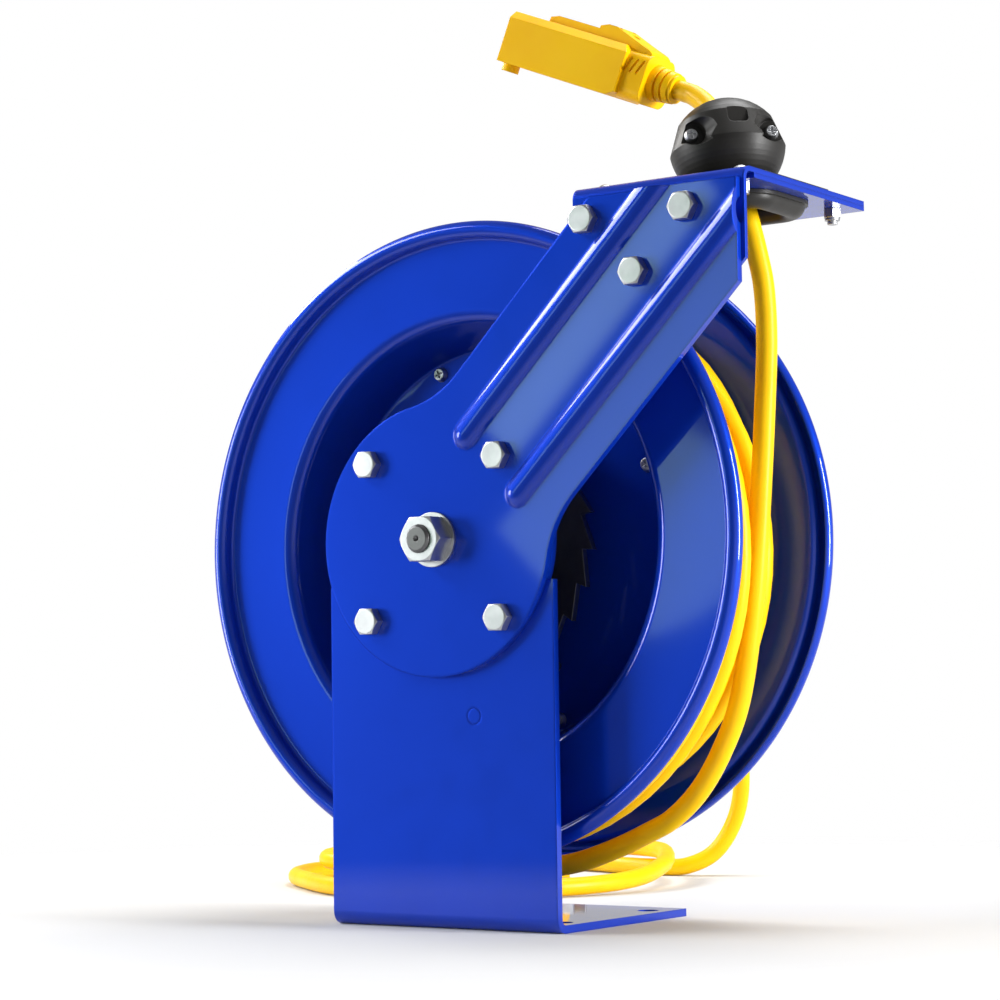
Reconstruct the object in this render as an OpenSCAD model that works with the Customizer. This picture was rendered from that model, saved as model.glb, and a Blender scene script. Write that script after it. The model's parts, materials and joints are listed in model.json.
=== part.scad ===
// Spring-driven extension cord reel: pressed steel stand and guide arm, spool, collector and cords.
// Millimetres. +Z is up, the axle lies along Y and the front faces -Y.
// The origin is the centre of the four base holes, on the floor.

/* [Stand] */
// Width of the base plate and of the upright
stand_w = 138; // [115:1:166]
// Depth of the base plate from front to back
base_d = 120; // [100:1:144]
// Thickness of the stand plate and of the guide arm
plate_t = 4; // [3:0.5:5]
// Outer radius of the bend between the base and the upright
base_bend_r = 7; // [6:0.5:10]
// Height of the axle above the floor
axle_z = 194; // [185:1:220]
// Diameter of the holes in the base plate
base_hole_d = 11; // [7:0.5:13]
// Distance between the base holes, side to side
base_hole_dx = 116; // [90:1:118]
// Distance between the base holes, front to back
base_hole_dy = 80; // [60:1:90]

/* [Guide arm] */
// Width of the sloping strip of the guide arm
arm_w = 93.4; // [84:0.2:96]
// Height of the top edge of the arm above the axle
arm_top = 162.5; // [150:0.5:170]
// Distance of the right edge of the arm from the axle
arm_side = 178; // [165:1:180]
// Radius of the fillets between the disc and the strip
arm_fillet_r = 56; // [30:1:60]
// Radius of the two pressed ribs, measured outside
rib_r = 8.5; // [7:0.5:10]
// Offset of each rib from the middle of the strip
rib_offset = 21.8; // [19:0.2:24]
// Start of the ribs, measured from the axle along the strip
rib_start = 51; // [48:1:60]

/* [Guide bracket] */
// Thickness of the bracket and of its backing plate
bracket_t = 2.5; // [2:0.25:3]
// Width of the bracket
bracket_w = 96; // [94:1:104]
// Reach of the bracket behind the stand's front face
bracket_reach = 122.5; // [115:0.5:130]
// Outer radius of the bend of the bracket
bracket_bend_r = 6; // [4.5:0.5:8]
// Distance between the corner bolts, side to side
guide_bolt_dx = 76; // [74:1:80]
// Distance between the corner bolts, front to back
guide_bolt_dy = 92; // [90:1:94]

/* [Cord guide] */
// Half length of the clear mouth, side to side
mouth_hx = 26.4; // [24:0.2:27]
// Half width of the clear mouth, front to back
mouth_hy = 18.4; // [16:0.2:19]
// Corner radius of the clear mouth
mouth_corner_r = 6; // [4:0.5:8]
// Radius of the round lip below the bracket
lip_r = 6.2; // [5.6:0.2:7]
// Radius of the round rim above the bracket
rim_r = 3.2; // [2.6:0.2:3.6]
// Thickness of the two moulded flanges
guide_flange_t = 2; // [1.5:0.5:3]

/* [Drum] */
// Diameter of the flanges over their rolled rims
flange_d = 328; // [324:1:345]
// Sheet thickness of the two drum halves
sheet_t = 1.5; // [1:0.25:2]
// Gap between the stand and the front flange
drum_gap = 11.5; // [10:0.1:13]
// Width of the drum over both rims
drum_w = 99.6; // [96:0.2:104]
// Depth of the front dish, from the rim to its floor
front_dish = 38.5; // [36:0.1:40]
// Height of each rolled rim above the flat of the flange
rim_h = 7.5; // [6.5:0.1:8.5]
// Outer radius of the roll of each rim
rim_roll_r = 4.3; // [3.8:0.1:4.6]
// Inner radius of the dish at its floor
dish_r = 104; // [103:0.5:106]
// Inner radius of the dish at its mouth
dish_mouth_r = 112; // [111:0.5:113]
// Radius of the rounded lip at the mouth of each dish
dish_lip_r = 7.5; // [6:0.5:8]
// Number of teeth of the ratchet wheel
ratchet_teeth = 24; // [24:1:26]

/* [Axle] */
// Diameter of the fixed shaft
axle_d = 20; // [16.5:0.1:21]
// Diameter of the threaded front end
axle_thread_d = 14; // [12:1:15]
// Radial running clearance of the bushes on the shaft
run_gap = 0.05; // [0.02:0.01:0.08]

/* [Cord] */
// Outer diameter of the cord
cord_d = 10.5; // [8.7:0.05:10.5]
// Radius of the middle of the outer layer of turns
layer_r = 129.6; // [128:0.1:130.5]
// Distance between the turns of the outer layer
layer_pitch = 12.4; // [12.2:0.1:12.8]
// Sag of the loose turns below the drum
loose_sag = 13.5; // [8:0.5:14.5]
// Slack of the last turn beside the rear flange
layer_slack = 9; // [0:0.5:12]
// Radius of the ball stop
ball_r = 29; // [27:0.5:30]

/* [Hidden] */
$fn = 64;

paint = [0.10, 0.22, 0.78];
yellow = [0.98, 0.78, 0.05];
black = [0.10, 0.10, 0.11];
zinc = [0.78, 0.79, 0.80];
steel = [0.42, 0.43, 0.45];
bronze = [0.70, 0.52, 0.28];
copper = [0.80, 0.50, 0.30];

seat = 0.05;
weld = 0.01;
gap = 0.3;
bolt_gap = 0.4;
axle_r = axle_d / 2;
cord_r = cord_d / 2;

// Stand: front face of the upright and what lies before and behind it
front_y = -base_d / 2;
stand_back_y = front_y + plate_t;
arm_front_y = front_y - plate_t;
stand_top_r = stand_w / 2;
hub_bolt_xz = 40;
m8_r = 4;
m8_hex = 13;
m8_head_h = 5.3;
m8_nut_h = 6.5;
m6_r = 3;
m5_r = 2.5;
m4_r = 2;

// Guide arm, bracket and the moulded guide
arm_shift = 0.8;
bracket_x = 132;
bracket_leg_z = axle_z + 106;
bracket_top_z = axle_z + arm_top + 6.1;
backing_z = bracket_top_z - 2 * bracket_t;
bracket_back_y = front_y + bracket_reach;
bracket_chamfer = 18.5;
guide_bolt_y = 1;
window_hx = mouth_hx + 4.6;
window_hy = mouth_hy + 4.6;
window_corner_r = mouth_corner_r + 4.6;
arm_bolt_xz = [[93.5, 151.4], [150, 151.3], [121.8, 123.1]];

// Drum: places along the axle
rim_y = stand_back_y + drum_gap;
flat_y = rim_y + rim_h;
floor_y = rim_y + front_dish;
rear_rim_y = rim_y + drum_w;
rear_flat_y = rear_rim_y - rim_h;
rear_floor_y = floor_y + 2 * sheet_t;
rim_fillet_r = 2;
floor_fillet_r = 2;
hub_r = 18;
floor_screw_r = dish_r - 5.8;
floor_screw_start = -21.5;

// Hub, ratchet and pawl
bush_r = axle_r + 3;
boss_r = 30;
hub_flange_r = 46;
hub_flange_t = 4;
hub_bolt_r = 38;
wheel_t = 4;
wheel_y = floor_y - 23;
wheel_r = 72.5;
wheel_root_r = 66.5;
tooth = 360 / ratchet_teeth;
pawl_xz = [20.8, -88.4];
pawl_l = 36;
pawl_clear = 2;
pawl_lead = 5;
pawl_lift = 15;
pawl_tip_r = 2.2;
pawl_t = 5;
pawl_y = wheel_y - (pawl_t - wheel_t) / 2;
stud_r = 4;
tip_reach = wheel_root_r + pawl_tip_r + pawl_clear;
pawl_reach = norm(pawl_xz);
pawl_heading = atan2(pawl_xz.y, pawl_xz.x);
pawl_side_sum = pawl_l * pawl_l + pawl_reach * pawl_reach - tip_reach * tip_reach;
pawl_angle = acos(pawl_side_sum / (2 * pawl_l * pawl_reach));
tip_heading = pawl_heading + asin(pawl_l * sin(pawl_angle) / tip_reach);
tooth_heading = tip_heading + pawl_lead;

// Spring case and collector
case_r = 88;
case_depth = 30;
case_y = rear_floor_y + case_depth;
case_boss_y = case_y + 9;
slip_r = 24;
ring_r = 28;
ring_w = 3;
ring_pitch = 6;
slip_len = 24;
housing_r = 41;
housing_t = 3;
housing_y = case_boss_y + 2;
housing_end_y = case_boss_y + 35;
gland_drop = 24;
tail_heading = 225;
tail_y = case_y + cord_r + 0.75;

// Winding
wall_gap = 0.5;
core_r = layer_r - cord_r - gap;
layer_start_y = rear_flat_y - sheet_t - cord_r - 0.35;
layer_end_y = flat_y + sheet_t + cord_r + 0.25;
layer_turns = (layer_start_y - layer_end_y) / layer_pitch;
climb_turns = 0.4;
loose_pitch = 11.2;
loose_r = layer_r + 11.1;
loose_end_y = -8;
loose_turns = (loose_end_y - layer_end_y) / loose_pitch;
winding_turns = layer_turns + climb_turns + loose_turns;
loop_rings = 24;
sag_heading = -75;
winding_heading = 12;
slack_heading = -35;

// Ball stop, resting on the rim of the guide
ball_x = 137;
ball_z = bracket_top_z + sqrt(pow(ball_r + rim_r + gap, 2) - pow(mouth_hy + rim_r, 2));
ball_turn = [-9.2, 60, -19];
crease_z = -4;
shoulder = [ball_r - 5.5, 11];
ball_top_z = ball_r - 6;
split_tilt = 85;
ball_screw_x = 20;
screw_seat = 12;
ball_core = [ball_x, 0, ball_z];
bore_gap = 1.5;

// Connector on the end of the cord
tail_at = [99.8, 16, 422.9];
connector_tilt = 22.5;
connector_l = 104.5;
block_low = -13.2;
block_edge = 10.4;
block_top = 14.2;
sleeve_l = 14;
grip_l = 17;

// Route of the stretch from the connector through the guide to the winding
stretch_route = [
    [99.8, 16, 422.9], [104.6, 16, 420.9], [110, 15.3, 418.2], [119.6, 11, 411], [129, 5, 400], [137, 0, 387],
    [143, -2, 372], [147.5, -3, 357], [151, -3, 344], [154, -2, 330], [156.2, 0, 313], [156, 2, 288],
    [153.2, 4, 258], [150.7, 4, 224], [146.9, 4, 180], [143.3, 4, 151], [135.7, 4, 112], [124.9, 4, 87],
    [111.9, 4, 67.6], [97, 4, 54], [82.4, 4, 46.4], [60, 4, 37], [34, 4, 29.3], [0, 4, 26], [-40, 4, 31],
    [-80, 4, 48], [-112, 4, 75], [-133, 4, 108], [-143, 4, 145], [-146.5, 4, 185], [-139, 4, 226],
    [-122, 4, 265]];

// Route of the lead-in cord from the gland, down to the floor and round its loose coil
lead_route = [
    [0, 95, 170], [0, 105, 170], [0, 117, 170], [-4, 150, 167], [-12, 205, 155], [-27, 260, 130],
    [-41, 304, 98], [-51, 330, 66], [-60, 338, 38], [-72, 333, 16], [-88, 324, 6.5], [-108, 319, 5.5],
    [-134, 323, 5.5],
    [-166, 334, 5.5], [-200, 340, 5.5], [-240, 325, 5.5], [-272, 290, 5.5], [-290, 245, 5.5],
    [-292, 200, 5.5], [-272, 158, 5.5], [-236, 126, 5.5], [-194, 97, 5.5], [-150, 85, 5.5],
    [-107, 95, 5.5], [-75, 122, 5.5], [-54, 158, 6], [-46, 195, 8], [-54, 235, 12], [-72, 272, 15.5],
    [-98, 306, 17], [-134, 330, 16.8], [-170, 341, 16.6], [-205, 345, 16.6], [-240, 327, 16.6],
    [-259, 292, 16.6], [-271, 245, 16.6], [-269, 205, 16.6], [-258, 172, 16.6], [-235, 150, 15.6],
    [-205, 152, 14.6], [-181, 166, 14.4], [-165, 171, 14.4], [-155, 171, 14.4], [-145, 171, 14.4]];
plug_at = lead_route[len(lead_route) - 1];

// ---- Helpers ----

function unit(v) = v / norm(v);
function left(v) = [-v.y, v.x];
function turned(a) = [cos(a), sin(a)];

// Points of an arc about c from angle a to angle b
function arc(c, r, a, b, steps = 8) = [for (i = [0:steps]) c + r * turned(a + (b - a) * i / steps)];

// A polyline thickened to its left by t
function mitred(p, i, t) =
    let (a = i == 0 ? p[1] - p[0] : p[i] - p[i - 1],
         b = i == len(p) - 1 ? a : p[i + 1] - p[i],
         na = left(unit(a)),
         m = unit(na + left(unit(b))))
    p[i] + m * t / (m * na);
function band(p, t) = concat(p, [for (i = [len(p) - 1:-1:0]) mitred(p, i, t)]);

// A smooth curve through the points of a route
function curve_at(p, i, t) =
    let (a = i == 0 ? 2 * p[0] - p[1] : p[i - 1],
         b = p[i],
         c = p[i + 1],
         d = i + 2 < len(p) ? p[i + 2] : 2 * c - b)
    0.5 * (2 * b + (c - a) * t + (2 * a - 5 * b + 4 * c - d) * t * t + (3 * b - a - 3 * c + d) * t * t * t);
function smooth(p, steps = 2) =
    concat([for (i = [0:len(p) - 2], k = [0:steps - 1]) curve_at(p, i, k / steps)], [p[len(p) - 1]]);

function tangents(p) =
    [for (i = [0:len(p) - 1]) unit(p[min(i + 1, len(p) - 1)] - p[max(i - 1, 0)])];
function squared(n, t) = unit(n - t * (n * t));
function side_vectors(t, first) =
    [for (i = 0, n = squared(first, t[0]); i < len(t);
          n = i + 1 < len(t) ? squared(n, t[i + 1]) : n, i = i + 1) n];

// A round tube swept along the points, as triangles
module tube(p, r, sides = 12, first = [0, 0, 1]) {
    t = tangents(p);
    n = side_vectors(t, first);
    rings = len(p);
    skin = [for (i = [0:rings - 1], j = [0:sides - 1])
        let (a = 360 * j / sides) p[i] + r * (cos(a) * n[i] + sin(a) * cross(t[i], n[i]))];
    walls = [for (i = [0:rings - 2], j = [0:sides - 1], half = [0, 1])
        let (k = (j + 1) % sides, a = i * sides, b = a + sides)
        half == 0 ? [a + j, b + j, b + k] : [a + j, b + k, a + k]];
    last = (rings - 1) * sides;
    ends = [for (j = [1:sides - 2], half = [0, 1])
        half == 0 ? [0, j, j + 1] : [last, last + j + 1, last + j]];
    polyhedron(points = skin, faces = concat(walls, ends));
}

// Turns the local Z axis to world +Y, with the origin on the axle
module on_axle(y = 0) {
    translate([0, y, axle_z]) rotate([-90, 0, 0]) children();
}

// Revolves a profile of [radius, y] points about the axle
module about_axle(profile) {
    on_axle() rotate_extrude($fn = 128) polygon(profile);
}

// A round bar along Y from y0 to y1
module bar(x, z, y0, y1, r) {
    translate([x, y0, z]) rotate([-90, 0, 0]) cylinder(r = r, h = y1 - y0);
}

module hex_bar(x, z, y0, y1, across) {
    translate([x, y0, z]) rotate([-90, 0, 0]) cylinder(r = across / 2 / cos(30), h = y1 - y0, $fn = 6);
}

// Places children at the four corners of a square about the axle, in X and Z
module at_hub_bolts() {
    for (sx = [-1, 1], sz = [-1, 1]) translate([sx * hub_bolt_xz, 0, axle_z + sz * hub_bolt_xz]) children();
}

module at_arm_bolts() {
    for (p = arm_bolt_xz) translate([p.x, 0, axle_z + p.y]) children();
}

module at_guide_bolts() {
    for (sx = [-1, 1], sy = [-1, 1])
        translate([bracket_x + sx * guide_bolt_dx / 2, guide_bolt_y + sy * guide_bolt_dy / 2, 0]) children();
}

module around(count, r, start) {
    for (i = [0:count - 1]) rotate([0, 0, start + i * 360 / count]) translate([r, 0, 0]) children();
}

// A rectangle with round corners, given by its half sizes
module round_rect(hx, hy, r) {
    square([2 * hx, 2 * (hy - r)], center = true);
    square([2 * (hx - r), 2 * hy], center = true);
    for (sx = [-1, 1], sy = [-1, 1]) translate([sx * (hx - r), sy * (hy - r)]) circle(r);
}

// A round bead laid along a rectangle with round corners
module round_bead(hx, hy, corner, r) {
    for (s = [-1, 1]) {
        translate([-(hx - corner), s * hy, 0]) rotate([0, 90, 0]) cylinder(r = r, h = 2 * (hx - corner));
        translate([s * hx, hy - corner, 0]) rotate([90, 0, 0]) cylinder(r = r, h = 2 * (hy - corner));
    }
    for (k = [0:3])
        rotate([0, 0, k * 90])
            translate(k % 2 == 0 ? [hx - corner, hy - corner, 0] : [hy - corner, hx - corner, 0])
                rotate_extrude(angle = 90) translate([corner, 0]) circle(r);
}

// ---- Stand ----

module pedestal() {
    bend = base_bend_r;
    upright_top = axle_z - 22;
    color(paint) difference() {
        union() {
            translate([-stand_w / 2, front_y + bend, 0]) cube([stand_w, base_d - bend, plate_t]);
            translate([-stand_w / 2, front_y, bend]) cube([stand_w, plate_t, upright_top - bend]);
            intersection() {
                translate([-stand_w / 2, front_y + bend, bend]) rotate([0, 90, 0]) difference() {
                    cylinder(r = bend, h = stand_w);
                    translate([0, 0, -1]) cylinder(r = bend - plate_t, h = stand_w + 2);
                }
                translate([-stand_w / 2, front_y, 0]) cube([stand_w, bend, bend]);
            }
            bar(0, axle_z, front_y, stand_back_y, stand_top_r);
        }
        for (sx = [-1, 1], sy = [-1, 1])
            translate([sx * base_hole_dx / 2, sy * base_hole_dy / 2, -1])
                cylinder(d = base_hole_d, h = plate_t + 2);
        at_hub_bolts() bar(0, 0, front_y - 1, stand_back_y + 1, m8_r + bolt_gap);
        bar(0, axle_z, front_y - 1, stand_back_y + 1, axle_thread_d / 2 + 0.1);
        bar(pawl_xz.x, axle_z + pawl_xz.y, front_y - 1, stand_back_y + 1, stud_r + seat);
    }
}

// One fillet between the disc and an edge of the strip that lies at this offset
module arm_fillet(disc_r, edge) {
    off = edge + arm_fillet_r;
    along = sqrt(pow(disc_r + arm_fillet_r, 2) - off * off);
    difference() {
        polygon([[0, 0], disc_r * unit([along, off]), [along, off], [along, 0]]);
        translate([along, off]) circle(arm_fillet_r + weld);
    }
}

module arm_outline() {
    intersection() {
        union() {
            circle(stand_top_r, $fn = 128);
            rotate(45) {
                translate([0, arm_shift - arm_w / 2]) square([2 * arm_side, arm_w]);
                arm_fillet(stand_top_r, arm_w / 2 + arm_shift);
                mirror([0, 1]) arm_fillet(stand_top_r, arm_w / 2 - arm_shift);
            }
        }
        translate([-stand_top_r, -stand_top_r]) square([stand_top_r + arm_side, stand_top_r + arm_top]);
    }
}

// Turns an outline drawn in X and Z about the axle into a plate from y0 to y1
module plate_y(y0, y1) {
    translate([0, y1, axle_z]) rotate([90, 0, 0]) linear_extrude(y1 - y0) children();
}

// A rib along the strip: a round bar with a round end
module rib_bar(offset_side, r) {
    translate([0, front_y, axle_z]) rotate([0, -45, 0]) translate([rib_start, 0, offset_side]) {
        rotate([0, 90, 0]) cylinder(r = r, h = 2 * arm_side);
        sphere(r);
    }
}

module guide_arm() {
    color(paint) difference() {
        union() {
            plate_y(arm_front_y, front_y) arm_outline();
            intersection() {
                for (s = [-1, 1]) rib_bar(s * rib_offset, rib_r);
                plate_y(front_y - rib_r - 1, front_y) arm_outline();
            }
        }
        for (s = [-1, 1]) rib_bar(s * rib_offset, rib_r - plate_t);
        at_hub_bolts() bar(0, 0, arm_front_y - 1, front_y + 1, m8_r + bolt_gap);
        at_arm_bolts() bar(0, 0, arm_front_y - 1, front_y + 1, m8_r + bolt_gap);
        bar(0, axle_z, arm_front_y - 1, front_y + 1, axle_thread_d / 2 + 0.1);
    }
}

// A cone from y0 to its small end at y1 that takes the corners off a hexagon there
module chamfer_cone(y0, y1, across) {
    h = abs(y1 - y0);
    translate([0, y0, 0]) rotate([y1 > y0 ? -90 : 90, 0, 0])
        cylinder(r1 = 0.47 * across + h / tan(30), r2 = 0.47 * across, h = h);
}

// A hex bolt through the plates from its head's seat at y0 to its end at y1
module m8_bolt(y0, y1) {
    intersection() {
        hex_bar(0, 0, y0 - m8_head_h, y0, m8_hex);
        chamfer_cone(y0, y0 - m8_head_h, m8_hex);
    }
    bar(0, 0, y0, y1, m8_r);
}

module m8_nut(y0) {
    difference() {
        intersection() {
            hex_bar(0, 0, y0, y0 + m8_nut_h, m8_hex);
            chamfer_cone(y0, y0 + m8_nut_h, m8_hex);
        }
        bar(0, 0, y0 - 1, y0 + m8_nut_h + 1, m8_r + seat);
    }
}

module hub_bolts() {
    color(zinc) at_hub_bolts() m8_bolt(arm_front_y, stand_back_y + m8_nut_h + 2);
}

module hub_nuts() {
    color(zinc) at_hub_bolts() m8_nut(stand_back_y);
}

module arm_bolts() {
    color(zinc) at_arm_bolts() m8_bolt(arm_front_y, front_y + bracket_t + m8_nut_h + 2);
}

module arm_nuts() {
    color(zinc) at_arm_bolts() m8_nut(front_y + bracket_t);
}

// ---- Guide bracket ----

module bracket_leg_outline() {
    h = bracket_top_z - bracket_bend_r - bracket_leg_z;
    translate([bracket_x - bracket_w / 2, bracket_leg_z - axle_z])
        polygon([[0, bracket_chamfer], [bracket_chamfer, 0], [bracket_w - bracket_chamfer, 0],
                 [bracket_w, bracket_chamfer], [bracket_w, h], [0, h]]);
}

module guide_bracket() {
    r = bracket_bend_r;
    x0 = bracket_x - bracket_w / 2;
    color(paint) difference() {
        union() {
            plate_y(front_y, front_y + bracket_t) bracket_leg_outline();
            translate([x0, front_y + r, bracket_top_z - bracket_t])
                cube([bracket_w, bracket_reach - r, bracket_t]);
            intersection() {
                translate([x0, front_y + r, bracket_top_z - r]) rotate([0, 90, 0]) difference() {
                    cylinder(r = r, h = bracket_w);
                    translate([0, 0, -1]) cylinder(r = r - bracket_t, h = bracket_w + 2);
                }
                translate([x0, front_y, bracket_top_z - r]) cube([bracket_w, r, r]);
            }
        }
        at_arm_bolts() bar(0, 0, front_y - 1, front_y + bracket_t + 1, m8_r + bolt_gap);
        guide_cuts();
    }
}

// The window for the cord guide and the four corner holes
module guide_cuts() {
    translate([bracket_x, 0, backing_z - 1]) linear_extrude(2 * bracket_t + 2)
        round_rect(window_hx, window_hy, window_corner_r);
    at_guide_bolts() translate([0, 0, backing_z - 1])
        cylinder(r = m5_r + bolt_gap / 2, h = 2 * bracket_t + 2);
}

module backing_plate() {
    start_y = front_y + bracket_bend_r + 4;
    color(paint) difference() {
        translate([bracket_x - bracket_w / 2, start_y, backing_z])
            cube([bracket_w, bracket_back_y - start_y, bracket_t]);
        guide_cuts();
    }
}

module guide_bolts() {
    color(zinc) at_guide_bolts() {
        translate([0, 0, bracket_top_z]) intersection() {
            cylinder(r = 4.6, h = 3);
            translate([0, 0, -2.4]) sphere(5.4);
        }
        translate([0, 0, backing_z - 8]) cylinder(r = m5_r, h = 2 * bracket_t + 8);
    }
}

module guide_locknuts() {
    color(zinc) at_guide_bolts() translate([0, 0, backing_z - 6]) difference() {
        union() {
            translate([0, 0, 1.5]) cylinder(r = 8 / 2 / cos(30), h = 4.5, $fn = 6);
            cylinder(r = 3.8, h = 1.5);
        }
        translate([0, 0, -1]) cylinder(r = m5_r + seat, h = 8);
    }
}

// ---- Moulded cord guide ----

module guide_flange() {
    cut_x = mouth_hx + 17.6;
    cut_y = mouth_hy + 27.6;
    polygon([[-20, -cut_y], [20, -cut_y], [cut_x, -32], [cut_x, 32], [20, cut_y],
             [-20, cut_y], [-cut_x, 32], [-cut_x, -32]]);
}

module fairlead_mouth() {
    flange_z = backing_z - guide_flange_t;
    edge = 2 * lip_r + 1.6;
    wall = 2.2;
    sleeve = 4.6 - bolt_gap;
    color(black) translate([bracket_x, 0, 0]) {
        translate([0, 0, flange_z]) linear_extrude(guide_flange_t) difference() {
            round_rect(mouth_hx + edge, mouth_hy + edge, mouth_corner_r + edge);
            round_rect(mouth_hx + lip_r, mouth_hy + lip_r, mouth_corner_r + lip_r);
        }
        translate([0, 0, flange_z]) linear_extrude(guide_flange_t + 2 * bracket_t - gap) difference() {
            round_rect(mouth_hx + sleeve, mouth_hy + sleeve, mouth_corner_r + sleeve);
            round_rect(mouth_hx + sleeve - wall, mouth_hy + sleeve - wall, mouth_corner_r + sleeve - wall);
        }
        translate([0, 0, flange_z]) linear_extrude(guide_flange_t) difference() {
            round_rect(mouth_hx + lip_r, mouth_hy + lip_r, mouth_corner_r + lip_r);
            round_rect(mouth_hx + sleeve - wall, mouth_hy + sleeve - wall, mouth_corner_r + sleeve - wall);
        }
        intersection() {
            translate([0, 0, flange_z])
                round_bead(mouth_hx + lip_r, mouth_hy + lip_r, mouth_corner_r + lip_r, lip_r);
            translate([-60, -60, flange_z - lip_r - 1]) cube([120, 120, lip_r + 1]);
        }
    }
}

module fairlead_collar() {
    outer = 4.6 - bolt_gap - 2.2 - 0.1;
    skirt = 2 * bracket_t;
    color(black) translate([bracket_x, 0, bracket_top_z]) {
        linear_extrude(guide_flange_t) difference() {
            guide_flange();
            round_rect(mouth_hx + rim_r, mouth_hy + rim_r, mouth_corner_r + rim_r);
        }
        intersection() {
            round_bead(mouth_hx + rim_r, mouth_hy + rim_r, mouth_corner_r + rim_r, rim_r);
            translate([-60, -60, 0]) cube([120, 120, rim_r + 1]);
        }
        translate([0, 0, -skirt]) linear_extrude(skirt) difference() {
            round_rect(mouth_hx + outer, mouth_hy + outer, mouth_corner_r + outer);
            round_rect(mouth_hx, mouth_hy, mouth_corner_r);
        }
    }
}

// ---- Fixed shaft ----

module axle() {
    front_end = arm_front_y - 14.6;
    chamfer = 1.2;
    rear_r = 6;
    color(steel) about_axle([
        [0, front_end + 1.5], [1.6, front_end], [axle_thread_d / 2 - chamfer, front_end],
        [axle_thread_d / 2, front_end + chamfer], [axle_thread_d / 2, stand_back_y],
        [axle_r + 6, stand_back_y], [axle_r + 6, stand_back_y + 4], [axle_r, stand_back_y + 4],
        [axle_r, housing_end_y - housing_t], [rear_r, housing_end_y - housing_t],
        [rear_r, housing_end_y + 11], [0, housing_end_y + 11]]);
}

module axle_washer() {
    color(zinc) difference() {
        bar(0, axle_z, arm_front_y - 1.6, arm_front_y, 13.8);
        bar(0, axle_z, arm_front_y - 3, arm_front_y + 1, axle_thread_d / 2 + 0.3);
    }
}

module axle_nut() {
    y1 = arm_front_y - 1.6;
    color(zinc) difference() {
        intersection() {
            hex_bar(0, axle_z, y1 - 11, y1, 22);
            about_axle([[0, y1 - 11], [11, y1 - 11], [13, y1 - 9.8], [13, y1], [0, y1]]);
        }
        bar(0, axle_z, y1 - 12, y1 + 1, axle_thread_d / 2 + seat);
    }
}

module ring_y(y0, y1, inner, outer) {
    difference() {
        bar(0, axle_z, y0, y1, outer);
        bar(0, axle_z, y0 - 1, y1 + 1, inner);
    }
}

module spacer_sleeve() {
    color(zinc) ring_y(stand_back_y + 4, wheel_y - 3 - gap, axle_r + seat, axle_r + 3);
}

module spring_arbor() {
    color(steel) ring_y(rear_floor_y + 1, case_y - sheet_t - gap, axle_r + seat, axle_r + 4);
}

module retaining_ring() {
    color(steel) ring_y(case_boss_y + 2 + gap, case_boss_y + 3.8, axle_r + seat, axle_r + 3.5);
}

// ---- Pawl ----

module on_stud(y) {
    translate([pawl_xz.x, y, axle_z + pawl_xz.y]) rotate([-90, 0, 0]) children();
}

module pawl_stud() {
    color(paint) {
        on_stud(front_y) cylinder(r = stud_r, h = pawl_y + pawl_t + 3.4 - front_y);
        on_stud(stand_back_y) cylinder(r = 7, h = 8);
    }
}

module pawl_outline() {
    difference() {
        union() {
            circle(8);
            polygon([[0, -5.5], [pawl_l, -pawl_tip_r], [pawl_l, pawl_tip_r], [0, 6.5]]);
            translate([pawl_l, 0]) circle(pawl_tip_r);
            rotate(125) translate([0, -3]) square([15, 6]);
        }
        circle(stud_r + run_gap);
    }
}

module pawl() {
    heading = pawl_heading + 180 - pawl_angle - pawl_lift;
    color(steel) translate([pawl_xz.x, pawl_y + pawl_t, axle_z + pawl_xz.y]) rotate([90, 0, 0])
        linear_extrude(pawl_t) rotate(heading) pawl_outline();
}

module pawl_spring() {
    turns = 4;
    wire_r = 0.7;
    start_y = stand_back_y + 9;
    pitch = (pawl_y - start_y - 2) / turns;
    coil = [for (i = [0:turns * 12]) let (a = 30 * i)
        [pawl_xz.x + 5.6 * cos(a), start_y + pitch * a / 360, axle_z + pawl_xz.y + 5.6 * sin(a)]];
    color(zinc) tube(coil, wire_r, 6, [0, 1, 0.3]);
}

module pawl_clip() {
    color(steel) on_stud(pawl_y + pawl_t + gap) difference() {
        cylinder(r = 7.5, h = 1);
        translate([0, 0, -1]) cylinder(r = stud_r + seat, h = 3);
    }
}

// ---- Collector on the fixed shaft ----

module collector_housing() {
    color(black) difference() {
        union() {
            bar(0, axle_z, housing_y, housing_end_y, housing_r);
            bar(0, axle_z - gland_drop, housing_end_y - 1, housing_end_y + 3, 12);
        }
        bar(0, axle_z, housing_y - 1, housing_end_y - housing_t, housing_r - housing_t);
        bar(0, axle_z, housing_y, housing_end_y + 4, 6 + seat);
        bar(0, axle_z - gland_drop, housing_y, housing_end_y + 4, 8 + seat);
    }
}

module brush_holder() {
    w = 18;
    y0 = case_boss_y + 4;
    color(black) intersection() {
        translate([-w / 2, y0, axle_z + ring_r + 3]) cube([w, housing_end_y - housing_t - y0, 12]);
        bar(0, axle_z, y0 - 1, housing_end_y, housing_r - housing_t - 0.05);
    }
}

module brushes() {
    color(copper) for (i = [0:2])
        translate([-4, case_boss_y + 6 + i * ring_pitch, axle_z + ring_r + gap])
            cube([8, ring_w - 0.6, 3 - gap]);
}

module collector_washer() {
    color(zinc) ring_y(housing_end_y, housing_end_y + 1.6, 6 + seat, 11);
}

module collector_nut() {
    color(zinc) difference() {
        hex_bar(0, axle_z, housing_end_y + 1.6, housing_end_y + 9.6, 19);
        bar(0, axle_z, housing_end_y, housing_end_y + 11, 6 + seat);
    }
}

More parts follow.
